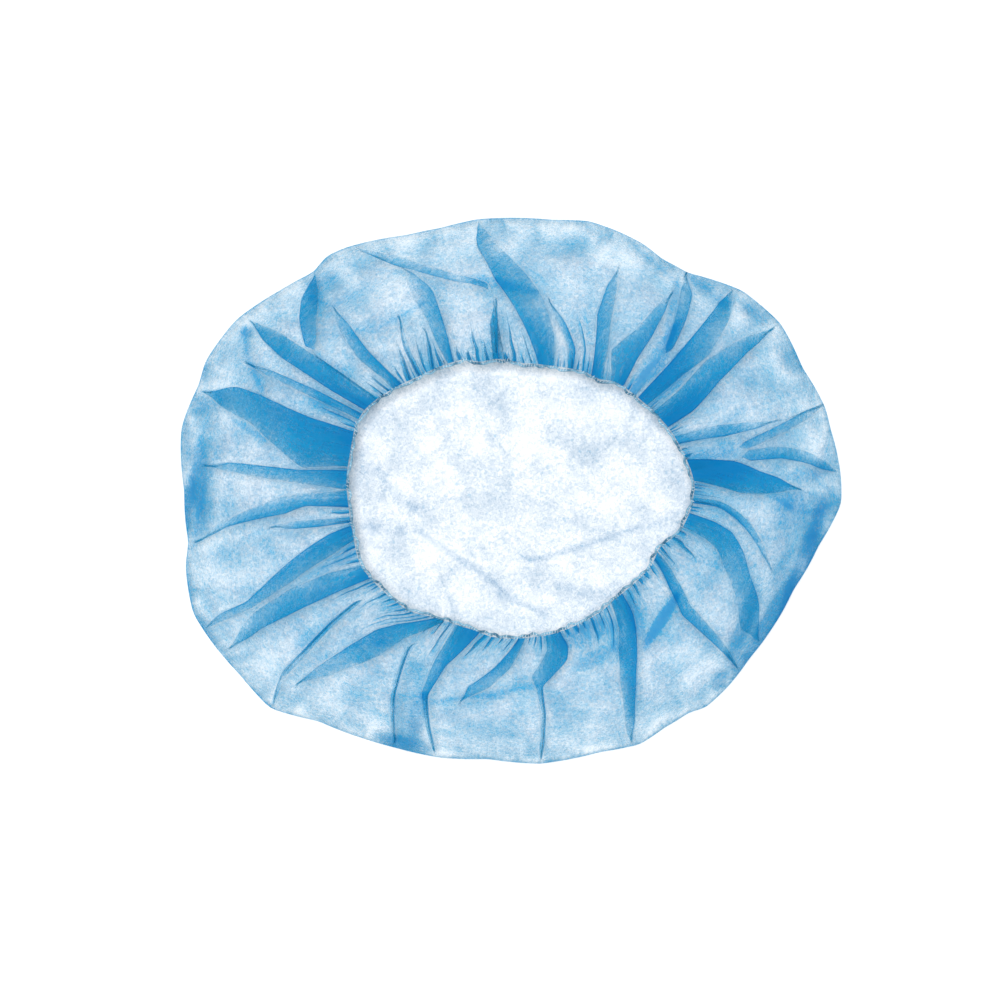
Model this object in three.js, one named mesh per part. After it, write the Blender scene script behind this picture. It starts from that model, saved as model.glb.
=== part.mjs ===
// A disposable hairnet of thin nonwoven cloth, lying crown down with its elastic opening up.
// One round sheet of cloth makes the crown and the skirt. The skirt turns up at the outer fold,
// comes in over the crown and is pleated to the elastic edge that runs round the opening.
// Units are millimetres. The floor is z = 0, and the origin is under the middle of the outline.
import * as THREE from 'three';

// The outline and the opening, measured across their widest places
const LENGTH = 340;
const WIDTH = 280.5;
const HEIGHT = 40;
const OPENING_LENGTH = 176;
const OPENING_WIDTH = 141.4;
const OPENING_SHIFT_X = 4.9;
const OPENING_SHIFT_Y = -3.6;

// The cloth, its pleats and the elastic
const CLOTH_WALL = 1;
const LAYER_STEP = 2.2;
const FOLD_MARGIN = 4;
const GATHER_RISE = 0.9;
const ELASTIC_THICKNESS = 2.4;
const EDGE_CLEARANCE = 0.3;

// How finely the round forms are divided
const ELASTIC_STEPS = 96;
const ELASTIC_SIDES = 6;
const PLAIN_STEP = 5.5;

// Shares of the way from the opening (0) to the outline (1). A pleat first rises as a step, then
// folds over between two of the rings below. It ends as a step on a ring and fades out past it.
const PLEAT_OPENS_FROM = 0.12;
const PLEAT_OPENS_BY = 0.24;
const PLEAT_FADE = 0.24;
const PLEAT_FLAT_FROM = 0.86;
const PLEAT_FLAT_BY = 1;

// The share of a pleat's height that is left as a ripple at the opening
const EDGE_RIPPLE = 0.2;

// The least angle in degrees of plain cloth between two pleats
const LEAST_GAP = 0.6;

// One row for each direction, counted in degrees from +X towards +Y. outline and opening are
// shares of the ellipses with the sizes above, and lift is the share of the height reached there.
const DIRECTIONS = [
  { turn: 0, outline: 1.0, opening: 0.99, lift: 0.94 },
  { turn: 15, outline: 0.99, opening: 0.99, lift: 0.97 },
  { turn: 30, outline: 1.015, opening: 0.985, lift: 1.0 },
  { turn: 45, outline: 0.985, opening: 0.985, lift: 0.98 },
  { turn: 60, outline: 0.985, opening: 0.965, lift: 0.93 },
  { turn: 75, outline: 1.01, opening: 0.965, lift: 0.9 },
  { turn: 90, outline: 1.01, opening: 0.965, lift: 0.92 },
  { turn: 105, outline: 0.995, opening: 1.02, lift: 0.96 },
  { turn: 120, outline: 1.015, opening: 1.05, lift: 0.98 },
  { turn: 135, outline: 1.015, opening: 1.06, lift: 1.0 },
  { turn: 150, outline: 1.04, opening: 1.1, lift: 0.98 },
  { turn: 165, outline: 1.025, opening: 1.035, lift: 0.94 },
  { turn: 180, outline: 0.99, opening: 0.99, lift: 0.9 },
  { turn: 195, outline: 1.03, opening: 1.01, lift: 0.93 },
  { turn: 210, outline: 1.06, opening: 1.04, lift: 0.98 },
  { turn: 225, outline: 1.055, opening: 1.015, lift: 1.0 },
  { turn: 240, outline: 1.01, opening: 0.97, lift: 0.95 },
  { turn: 255, outline: 1.0, opening: 0.985, lift: 0.9 },
  { turn: 270, outline: 0.995, opening: 1.0, lift: 0.88 },
  { turn: 285, outline: 1.0, opening: 0.98, lift: 0.92 },
  { turn: 300, outline: 0.995, opening: 0.94, lift: 0.97 },
  { turn: 315, outline: 0.97, opening: 0.9, lift: 1.0 },
  { turn: 330, outline: 0.94, opening: 0.89, lift: 0.97 },
  { turn: 345, outline: 0.935, opening: 0.91, lift: 0.93 },
];

// One row for each ring of the cloth, from where it leaves the floor, out round the outer fold,
// and up and in to the opening. reach is the share of the way from the opening to the outline,
// and rise the share of the skirt's height.
const RINGS = [
  { reach: 0.8, rise: 0 },
  { reach: 0.94, rise: 0.06 },
  { reach: 1.0, rise: 0.22 },
  { reach: 0.96, rise: 0.4 },
  { reach: 0.86, rise: 0.6 },
  { reach: 0.72, rise: 0.82 },
  { reach: 0.56, rise: 0.96 },
  { reach: 0.4, rise: 1.0 },
  { reach: 0.24, rise: 0.95 },
  { reach: 0.12, rise: 0.85 },
  { reach: 0.05, rise: 0.77 },
  { reach: 0, rise: 0.72 },
];
const OUTER_FOLD_RING = 2;

// One row for each main pleat, a flat fold of three layers. rim, middle and tip are its
// directions in degrees, rimWide and middleWide its widths in degrees, reach the share where
// its tip ends, and lean the side of its top crease: 1 towards rising degrees, -1 the other way.
const PLEATS = [
  { rim: 9.5, middle: 4.5, tip: 1, rimWide: 7, middleWide: 7, reach: 0.72, lean: 1 },
  { rim: 29.5, middle: 32.5, tip: 32, rimWide: 7, middleWide: 5, reach: 0.86, lean: -1 },
  { rim: 51, middle: 52, tip: 50, rimWide: 6, middleWide: 4.5, reach: 0.72, lean: -1 },
  { rim: 80.5, middle: 88, tip: 96, rimWide: 5, middleWide: 7.5, reach: 0.86, lean: 1 },
  { rim: 116.5, middle: 114.5, tip: 116, rimWide: 3.5, middleWide: 5, reach: 0.72, lean: -1 },
  { rim: 148, middle: 148, tip: 146, rimWide: 4.5, middleWide: 3.5, reach: 0.86, lean: 1 },
  { rim: 164, middle: 162.5, tip: 162, rimWide: 11, middleWide: 7, reach: 0.86, lean: -1 },
  { rim: 179.5, middle: 182.5, tip: 188, rimWide: 6.5, middleWide: 4, reach: 0.86, lean: 1 },
  { rim: 194, middle: 198.5, tip: 203.5, rimWide: 6, middleWide: 4.5, reach: 0.86, lean: -1 },
  { rim: 206, middle: 206.5, tip: 209, rimWide: 8, middleWide: 4, reach: 0.86, lean: 1 },
  { rim: 221, middle: 224, tip: 218, rimWide: 5, middleWide: 6, reach: 0.72, lean: -1 },
  { rim: 248, middle: 245.5, tip: 246, rimWide: 9, middleWide: 4, reach: 0.56, lean: 1 },
  { rim: 290, middle: 283, tip: 274, rimWide: 14, middleWide: 11, reach: 0.4, lean: 1 },
  { rim: 316.5, middle: 305, tip: 296, rimWide: 4, middleWide: 4, reach: 0.86, lean: 1 },
  { rim: 336, middle: 327, tip: 321, rimWide: 3.5, middleWide: 3.5, reach: 0.86, lean: -1 },
  { rim: 352, middle: 344, tip: 329, rimWide: 5, middleWide: 6, reach: 0.86, lean: 1 },
];

// One row for each point across a pleat. plain is its place in the open cloth and margin its
// place in the closed pleat, as shares of the margin. edge is the pleat's edge that it follows,
// turn how far it stands past that edge and level its height, as shares of the layer step.
const PLEAT_SECTION = [
  { plain: -1, edge: -1, margin: -1, turn: 0, level: 0 },
  { plain: -0.78, edge: -1, margin: 0, turn: -0.45, level: 1 },
  { plain: -0.52, edge: 1, margin: 0, turn: 0, level: 1 },
  { plain: -0.3, edge: 1, margin: 0, turn: 0.25, level: 0.6 },
  { plain: -0.1, edge: 1, margin: 0, turn: -0.08, level: 0.2 },
  { plain: 0.1, edge: -1, margin: 0, turn: 0.08, level: -0.2 },
  { plain: 0.3, edge: -1, margin: 0, turn: -0.25, level: -0.6 },
  { plain: 0.52, edge: -1, margin: 0, turn: 0, level: -1 },
  { plain: 0.78, edge: 1, margin: 0, turn: 0.45, level: -1 },
  { plain: 1, edge: 1, margin: 1, turn: 0, level: 0 },
];

const FULL_TURN = 360;
const CLOTH_COLOUR = '#a6cfe8';
const CLOTH_ROUGHNESS = 0.9;
const ELASTIC_COLOUR = '#7fa9c0';
const ELASTIC_ROUGHNESS = 0.7;

/** A share that rises smoothly from 0 at low to 1 at high. */
function ramp(value, low, high) {
  return THREE.MathUtils.smoothstep(value, low, high);
}

/** The value of a column of DIRECTIONS at any direction, on a smooth closed curve. */
function directionShare(column, turn) {
  const step = FULL_TURN / DIRECTIONS.length;
  const place = THREE.MathUtils.euclideanModulo(turn, FULL_TURN) / step;
  const row = Math.floor(place);
  const t = place - row;
  const at = (offset) => DIRECTIONS[(row + offset + DIRECTIONS.length) % DIRECTIONS.length][column];
  const before = at(-1);
  const here = at(0);
  const next = at(1);
  const after = at(2);
  const slopeHere = (next - before) / 2;
  const slopeNext = (after - here) / 2;
  const rest = t * t * (3 - 2 * t);
  return here + (next - here) * rest + t * (1 - t) * ((1 - t) * slopeHere - t * slopeNext);
}

/** The distance from the middle of an ellipse to its edge in a direction. */
function ellipseRadius(turn, length, width) {
  const angle = THREE.MathUtils.degToRad(turn);
  return 1 / Math.hypot((2 * Math.cos(angle)) / length, (2 * Math.sin(angle)) / width);
}

/** The point at a distance from a middle, in a direction. */
function polar(turn, radius, middleX, middleY) {
  const angle = THREE.MathUtils.degToRad(turn);
  return new THREE.Vector2(middleX + radius * Math.cos(angle), middleY + radius * Math.sin(angle));
}

/** A point of the elastic's middle line, moved outwards by a distance. */
function openingPoint(turn, outwards) {
  const share = directionShare('opening', turn);
  const radius = ellipseRadius(turn, OPENING_LENGTH, OPENING_WIDTH) * share + outwards;
  return polar(turn, radius, OPENING_SHIFT_X, OPENING_SHIFT_Y);
}

/** The plan position in a direction, at a share of the way from the opening to the outline. */
function planPoint(turn, reach) {
  const inner = openingPoint(turn, ELASTIC_THICKNESS / 2 + EDGE_CLEARANCE);
  const radius = ellipseRadius(turn, LENGTH, WIDTH) * directionShare('outline', turn);
  const outer = polar(turn, radius - CLOTH_WALL / 2, 0, 0);
  return inner.lerp(outer, reach);
}

/** The height of the middle of the cloth in a direction, at a share of the skirt's height. */
function clothHeight(turn, rise) {
  const floor = CLOTH_WALL / 2;
  const top = HEIGHT - CLOTH_WALL / 2 - LAYER_STEP;
  return floor + (top - floor) * rise * directionShare('lift', turn);
}

/** A pleat's direction at a share of its own length, through rim, middle and tip. */
function pleatDirection(pleat, along) {
  const bend = 2 * (pleat.rim + pleat.tip - 2 * pleat.middle);
  const start = 4 * pleat.middle - 3 * pleat.rim - pleat.tip;
  return pleat.rim + start * along + bend * along * along;
}

/** A pleat's middle direction, half width in degrees and fullness at a reach. */
function pleatAt(pleat, reach) {
  const along = Math.min(reach / pleat.reach, 1);
  const nearRim = THREE.MathUtils.lerp(pleat.rimWide, pleat.middleWide, Math.min(along * 2, 1));
  const narrowing = 1 - Math.max(along * 2 - 1, 0);
  const opened = ramp(reach, PLEAT_OPENS_FROM, PLEAT_OPENS_BY);
  const raised = THREE.MathUtils.lerp(EDGE_RIPPLE, 1, ramp(reach, 0, PLEAT_OPENS_FROM));
  const past = 1 - ramp(reach, pleat.reach, pleat.reach + PLEAT_FADE);
  const flattened = 1 - ramp(reach, PLEAT_FLAT_FROM, PLEAT_FLAT_BY);
  return {
    middle: pleatDirection(pleat, along),
    half: (nearRim * narrowing * opened) / 2,
    fullness: raised * past * flattened,
  };
}

/** The millimetres round the cap for each degree, in a direction and at a reach. */
function millimetresPerDegree(turn, reach) {
  return planPoint(turn - 1, reach).distanceTo(planPoint(turn + 1, reach)) / 2;
}

/** The directions and heights of a pleat's points at a reach. */
function pleatPoints(pleat, reach) {
  const { middle, half, fullness } = pleatAt(pleat, reach);
  const scale = millimetresPerDegree(middle, reach);
  const points = PLEAT_SECTION.map((row) => {
    const plain = row.plain * FOLD_MARGIN;
    const folded = row.edge * half * scale + row.margin * FOLD_MARGIN + row.turn * LAYER_STEP;
    const across = THREE.MathUtils.lerp(plain, folded, fullness);
    return { turn: middle + (pleat.lean * across) / scale, lift: row.level * LAYER_STEP * fullness };
  });
  return pleat.lean > 0 ? points : points.reverse();
}

/** How many plain points stand between a pleat and the next one round, for the gap between
 * them at the opening, where it is widest. */
function plainCount(pleat, next) {
  const pleatAngle = (2 * FOLD_MARGIN) / millimetresPerDegree(pleat.rim, 0);
  const gap = THREE.MathUtils.euclideanModulo(next.rim - pleat.rim, FULL_TURN) - pleatAngle;
  return Math.max(Math.ceil(gap / PLAIN_STEP) - 1, 1);
}

/** The angle from one direction on to another, less than half a turn either way. */
function angleBetween(from, to) {
  return THREE.MathUtils.euclideanModulo(to - from + FULL_TURN / 2, FULL_TURN) - FULL_TURN / 2;
}

/** The points right round the cloth at a reach: pleats, and gathered cloth between them. Two
 * pleats that come close share the plain cloth between them. */
function ringPoints(reach) {
  const pleats = PLEATS.map((pleat) => pleatPoints(pleat, reach));
  const points = [];
  pleats.forEach((pleat, index) => {
    const following = pleats[(index + 1) % pleats.length];
    const end = pleat[pleat.length - 1];
    const start = following[0];
    const squeeze = Math.max(LEAST_GAP - angleBetween(end.turn, start.turn), 0) / 2;
    end.turn -= squeeze;
    start.turn += squeeze;
  });
  pleats.forEach((pleat, index) => {
    const next = (index + 1) % pleats.length;
    const end = pleat[pleat.length - 1].turn;
    const gap = angleBetween(end, pleats[next][0].turn);
    const count = plainCount(PLEATS[index], PLEATS[next]);
    points.push(...pleat);
    for (let place = 1; place <= count; place += 1) {
      const side = place % 2 === 0 ? -1 : 1;
      const lift = side * GATHER_RISE * (1 - ramp(reach, PLEAT_OPENS_BY, PLEAT_FLAT_FROM));
      points.push({ turn: end + (gap * place) / (count + 1), lift });
    }
  });
  return points;
}

/** The middle surface of the cloth, ring by ring from the crown to the opening. */
function clothRings() {
  return RINGS.map((ring, index) => {
    const underneath = index < OUTER_FOLD_RING;
    const points = ringPoints(underneath ? 1 : ring.reach);
    return points.map(({ turn, lift }) => {
      const plan = planPoint(turn, ring.reach);
      const height = clothHeight(turn, ring.rise) + (underneath ? 0 : lift);
      return new THREE.Vector3(plan.x, plan.y, height);
    });
  });
}

/** The outward direction of the cloth at a point of a ring: straight down where it lies on the
 * floor, and straight up at the opening, so that its edge faces the elastic. */
function clothNormal(rings, row, column) {
  if (row === 0) return new THREE.Vector3(0, 0, -1);
  if (row === rings.length - 1) return new THREE.Vector3(0, 0, 1);
  const count = rings[row].length;
  const before = rings[row][(column + count - 1) % count];
  const after = rings[row][(column + 1) % count];
  const inside = rings[row - 1][column];
  const outside = rings[row + 1][column];
  const round = new THREE.Vector3().subVectors(after, before);
  const along = new THREE.Vector3().subVectors(outside, inside);
  return round.cross(along).normalize();
}

/** A closed mesh from points and faces. */
function solidMesh(name, points, faces, colour, roughness) {
  const geometry = new THREE.BufferGeometry();
  const numbers = points.flatMap((point) => [point.x, point.y, point.z]);
  geometry.setAttribute('position', new THREE.Float32BufferAttribute(numbers, 3));
  geometry.setIndex(faces.flat());
  geometry.computeVertexNormals();
  const material = new THREE.MeshStandardMaterial({ color: colour, roughness, metalness: 0 });
  const mesh = new THREE.Mesh(geometry, material);
  mesh.name = name;
  return mesh;
}

/** The cloth: crown and skirt in one wall, open at the opening. */
function capCloth() {
  const rings = clothRings();
  const count = rings[0].length;
  const points = [];
  const faces = [];
  const last = rings.length - 1;
  const sides = [1, -1];
  const indexOf = (side, row, column) => (side * rings.length + row) * count + (column % count);
  sides.forEach((outward) => {
    rings.forEach((ring, row) => ring.forEach((point, column) => {
      const away = clothNormal(rings, row, column).multiplyScalar((outward * CLOTH_WALL) / 2);
      points.push(away.add(point));
    }));
  });
  const under = points.push(new THREE.Vector3(0, 0, 0)) - 1;
  const over = points.push(new THREE.Vector3(0, 0, CLOTH_WALL)) - 1;
  for (let column = 0; column < count; column += 1) {
    for (let row = 0; row < last; row += 1) {
      const outer = [[row, column], [row, column + 1], [row + 1, column + 1], [row + 1, column]]
        .map(([ring, place]) => indexOf(0, ring, place));
      const inner = outer.map((index) => index + rings.length * count);
      faces.push([outer[0], outer[1], outer[3]], [outer[1], outer[2], outer[3]]);
      faces.push([inner[0], inner[3], inner[1]], [inner[1], inner[3], inner[2]]);
    }
    const outerEdge = [indexOf(0, last, column), indexOf(0, last, column + 1)];
    const innerEdge = [indexOf(1, last, column), indexOf(1, last, column + 1)];
    faces.push([outerEdge[0], outerEdge[1], innerEdge[0]]);
    faces.push([outerEdge[1], innerEdge[1], innerEdge[0]]);
    faces.push([under, indexOf(0, 0, column + 1), indexOf(0, 0, column)]);
    faces.push([over, indexOf(1, 0, column), indexOf(1, 0, column + 1)]);
  }
  return solidMesh('cap_cloth', points, faces, CLOTH_COLOUR, CLOTH_ROUGHNESS);
}

/** The elastic: one closed ring inside the edge of the cloth. */
function elasticEdge() {
  const points = [];
  const faces = [];
  const radius = ELASTIC_THICKNESS / 2;
  const edgeRise = RINGS[RINGS.length - 1].rise;
  for (let step = 0; step < ELASTIC_STEPS; step += 1) {
    const turn = (step * FULL_TURN) / ELASTIC_STEPS;
    for (let side = 0; side < ELASTIC_SIDES; side += 1) {
      const angle = (side * 2 * Math.PI) / ELASTIC_SIDES;
      const plan = openingPoint(turn, radius * Math.cos(angle));
      const height = clothHeight(turn, edgeRise) + radius * Math.sin(angle);
      points.push(new THREE.Vector3(plan.x, plan.y, height));
      const here = step * ELASTIC_SIDES;
      const there = ((step + 1) % ELASTIC_STEPS) * ELASTIC_SIDES;
      const next = (side + 1) % ELASTIC_SIDES;
      faces.push([here + side, there + side, there + next]);
      faces.push([here + side, there + next, here + next]);
    }
  }
  return solidMesh('elastic_edge', points, faces, ELASTIC_COLOUR, ELASTIC_ROUGHNESS);
}

const hairnet = new THREE.Group();
hairnet.add(capCloth());
hairnet.add(elasticEdge());

export default hairnet;
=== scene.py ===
import logging
import math
import random
from collections.abc import Sequence
from dataclasses import dataclass, field
from enum import Enum
from typing import Any

import bmesh
import bpy
import numpy as np
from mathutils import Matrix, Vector


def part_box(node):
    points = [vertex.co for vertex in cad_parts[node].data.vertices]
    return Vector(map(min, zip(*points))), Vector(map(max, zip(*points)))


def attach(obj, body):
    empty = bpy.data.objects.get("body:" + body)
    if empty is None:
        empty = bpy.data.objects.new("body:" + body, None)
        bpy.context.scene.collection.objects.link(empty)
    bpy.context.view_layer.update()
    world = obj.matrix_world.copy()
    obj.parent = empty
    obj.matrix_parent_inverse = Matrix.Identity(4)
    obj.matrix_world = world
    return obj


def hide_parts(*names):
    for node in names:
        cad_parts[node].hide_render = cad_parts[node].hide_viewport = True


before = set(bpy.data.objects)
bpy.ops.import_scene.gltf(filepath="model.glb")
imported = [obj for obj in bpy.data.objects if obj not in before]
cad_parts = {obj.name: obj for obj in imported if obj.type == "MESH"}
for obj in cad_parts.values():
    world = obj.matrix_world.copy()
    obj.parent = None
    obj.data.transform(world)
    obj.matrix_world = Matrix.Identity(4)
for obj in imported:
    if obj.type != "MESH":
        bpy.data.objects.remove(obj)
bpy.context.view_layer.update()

LOG = logging.getLogger("hairnet")
MM = 0.001
FULL_TURN = 360.0
SAME_PLACE = 0.001 * MM


class Lean(Enum):
    """The side of a pleat's top crease, seen from above."""

    RISING = 1.0
    FALLING = -1.0


def linear_colour(code: str) -> tuple[float, float, float, float]:
    """Turn an sRGB hex colour into linear values.

    Args:
        code: The colour, such as "#a6cfe8".

    Returns:
        Linear red, green and blue, and an alpha of 1.
    """
    values = []
    for start in (1, 3, 5):
        share = int(code[start:start + 2], 16) / 255
        values.append(share / 12.92 if share <= 0.04045 else ((share + 0.055) / 1.055) ** 2.4)
    return (values[0], values[1], values[2], 1.0)


def ramp(value: np.ndarray | float, low: float, high: float) -> np.ndarray:
    """Rise smoothly from 0 at low to 1 at high.

    Args:
        value: The value or values to read.
        low: Where the rise starts.
        high: Where the rise ends.

    Returns:
        The share reached, from 0 to 1.
    """
    share = np.clip((np.asarray(value, dtype=float) - low) / (high - low), 0.0, 1.0)
    return share * share * (3 - 2 * share)


def smooth_curve(place: np.ndarray, marks: Sequence[float], keys: Sequence[float]) -> np.ndarray:
    """Run a smooth curve through key values, without swinging past them.

    Args:
        place: Where to read the curve.
        marks: The places of the keys, rising.
        keys: The value at each mark.

    Returns:
        The curve's value at each place.
    """
    marks = np.asarray(marks, dtype=float)
    keys = np.asarray(keys, dtype=float)
    rises = np.diff(keys) / np.diff(marks)
    before, after = rises[:-1], rises[1:]
    turns_back = before * after <= 0
    with np.errstate(divide="ignore", invalid="ignore"):
        middle = np.where(turns_back, 0.0, 2 * before * after / (before + after))
    slopes = np.concatenate((rises[:1], middle, rises[-1:]))
    index = np.clip(np.searchsorted(marks, place, side="right") - 1, 0, len(keys) - 2)
    span = marks[index + 1] - marks[index]
    t = (place - marks[index]) / span
    start = 2 * t**3 - 3 * t**2 + 1
    lead = (t**3 - 2 * t**2 + t) * span * slopes[index]
    follow = (t**3 - t**2) * span * slopes[index + 1]
    return start * keys[index] + (1 - start) * keys[index + 1] + lead + follow


def add_node(
    tree: bpy.types.NodeTree,
    kind: str,
    settings: dict[str, Any] | None = None,
    **inputs: Any,
) -> bpy.types.Node:
    """Add a node with its settings, values and links.

    Args:
        tree: The node tree that takes the node.
        kind: The node's type name.
        settings: Attributes of the node.
        inputs: A value or an output socket for each input, by its name with underscores, or by
            its number as in0, in1 and so on.

    Returns:
        The new node.
    """
    node = tree.nodes.new(kind)
    for name, value in (settings or {}).items():
        setattr(node, name, value)
    for name, value in inputs.items():
        by_number = name[:2] == "in" and name[2:].isdigit()
        socket = node.inputs[int(name[2:]) if by_number else name.replace("_", " ")]
        if isinstance(value, bpy.types.NodeSocket):
            tree.links.new(value, socket)
        else:
            socket.default_value = value
    return node


@dataclass(frozen=True)
class ShareTable:
    """Shares of a size round the cap, one row of direction in degrees and share for each place."""

    rows: tuple[tuple[float, float], ...]
    rounding: float = 1.5

    def at(self, turn: np.ndarray | float) -> np.ndarray:
        """Read the table at any direction, with its corners a little rounded.

        Args:
            turn: Directions in degrees.

        Returns:
            The share at each direction.
        """
        places, shares = zip(*self.rows)
        around = [np.interp(turn + step, places, shares, period=FULL_TURN)
                  for step in (-self.rounding, 0.0, self.rounding)]
        return (around[0] + 2 * around[1] + around[2]) / 4


@dataclass(frozen=True)
class Station:
    """A place along a pleat: its reach, direction and width in degrees."""

    reach: float
    turn: float
    wide: float


@dataclass(frozen=True)
class Pleat:
    """A flat fold of three layers in the skirt."""

    lean: Lean
    stations: tuple[Station, ...]
    deep: float = 0.0
    fade: float = 0.07
    taper: float = 0.16
    rounding: float = 0.02

    @property
    def tip(self) -> float:
        """The reach of the last station where the pleat is folded."""
        return max(station.reach for station in self.stations if station.wide > 0)

    def direction(self, reach: np.ndarray) -> np.ndarray:
        """Find the pleat's middle direction at each reach.

        Args:
            reach: Shares of the way from the opening to the outline.

        Returns:
            Directions in degrees.
        """
        return self._smooth(reach, [station.turn for station in self.stations])

    def half_width(self, reach: np.ndarray) -> np.ndarray:
        """Find half the pleat's width at each reach.

        Args:
            reach: Shares of the way from the opening to the outline.

        Returns:
            Half widths in degrees, nothing past the pleat's two ends.
        """
        narrowing = np.clip((self.tip + self.taper / 4 - reach) / self.taper, 0.15, 1)
        half = self._smooth(reach, [station.wide / 2 for station in self.stations])
        return np.maximum(half, 0) * narrowing

    def fullness(self, reach: np.ndarray) -> np.ndarray:
        """Find how fully the pleat is folded at each reach.

        Args:
            reach: Shares of the way from the opening to the outline.

        Returns:
            Shares from 0 to 1, fading out past the pleat's two ends.
        """
        root = min(station.reach for station in self.stations if station.wide > 0)
        start = 1.0 if root < self.fade else ramp(reach, root - self.fade, root)
        return start * (1 - ramp(reach, self.tip, self.tip + self.fade))

    def _smooth(self, reach: np.ndarray, values: Sequence[float]) -> np.ndarray:
        """Run straight between the stations, with the bends a little rounded.

        Args:
            reach: Shares of the way from the opening to the outline.
            values: One value for each station.

        Returns:
            The value at each reach.
        """
        places = [station.reach for station in self.stations]
        around = [np.interp(reach + step, places, values) for step in (-self.rounding, 0.0, self.rounding)]
        return (around[0] + 2 * around[1] + around[2]) / 4


def pleat(lean: Lean, deep: float, *stations: tuple[float, float, float]) -> Pleat:
    """Make a pleat from plain rows.

    Args:
        lean: The side of its top crease.
        deep: How much more cloth than three layers lies in it, from 0 to 1.
        stations: Rows of reach, direction and width in degrees.

    Returns:
        The pleat.
    """
    return Pleat(lean, tuple(Station(*row) for row in stations), deep)


OUTLINE = ShareTable((
    (3, 0.999), (11, 0.993), (15, 0.999), (23, 0.991), (32, 1.022), (41, 1.016), (51, 0.964),
    (57, 0.968), (62, 0.993), (68, 1.009), (74, 1.02), (81, 1.005), (97, 1.004), (105, 0.99),
    (112, 0.992), (124, 1.025), (128, 1.028), (132, 1.002), (139, 1.016), (148, 1.043),
    (157, 1.04), (161, 1.022), (169, 1.024), (176, 1.0), (180, 0.988), (189, 0.993),
    (193, 1.022), (201, 1.06), (214, 1.06), (222, 1.078), (230, 1.024), (239, 1.01),
    (246, 1.003), (255, 1.0), (265, 0.984), (276, 1.003), (289, 0.993), (297, 1.006),
    (303, 0.983), (309, 0.973), (312, 0.987), (318, 0.971), (325, 0.946), (332, 0.936),
    (341, 0.927), (350, 0.951), (358, 1.0),
), 1.0)

OPENING = ShareTable((
    (5, 1.005), (16, 0.987), (39, 0.983), (51, 0.995), (57, 0.957), (63, 0.976), (76, 0.961),
    (90, 0.964), (100, 1.008), (107, 0.995), (112, 1.048), (130, 1.048), (140, 1.075),
    (150, 1.1), (155, 1.088), (165, 1.03), (174, 1.008), (182, 0.989), (191, 0.991),
    (203, 1.037), (218, 1.027), (226, 1.027), (233, 0.983), (240, 0.971), (251, 0.974),
    (257, 1.0), (265, 1.002), (283, 0.983), (294, 0.957), (307, 0.923), (313, 0.893),
    (323, 0.887), (333, 0.888), (341, 0.864), (348, 0.945), (356, 0.977),
), 2.0)

LIFT = ShareTable((
    (0, 0.94), (30, 1.0), (60, 0.93), (75, 0.9), (105, 0.96), (135, 1.0), (165, 0.94),
    (180, 0.9), (225, 1.0), (255, 0.9), (270, 0.88), (300, 0.97), (315, 1.0), (345, 0.93),
), 8.0)

# R and F keep each pleat's row below short.
R, F = Lean.RISING, Lean.FALLING

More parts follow.
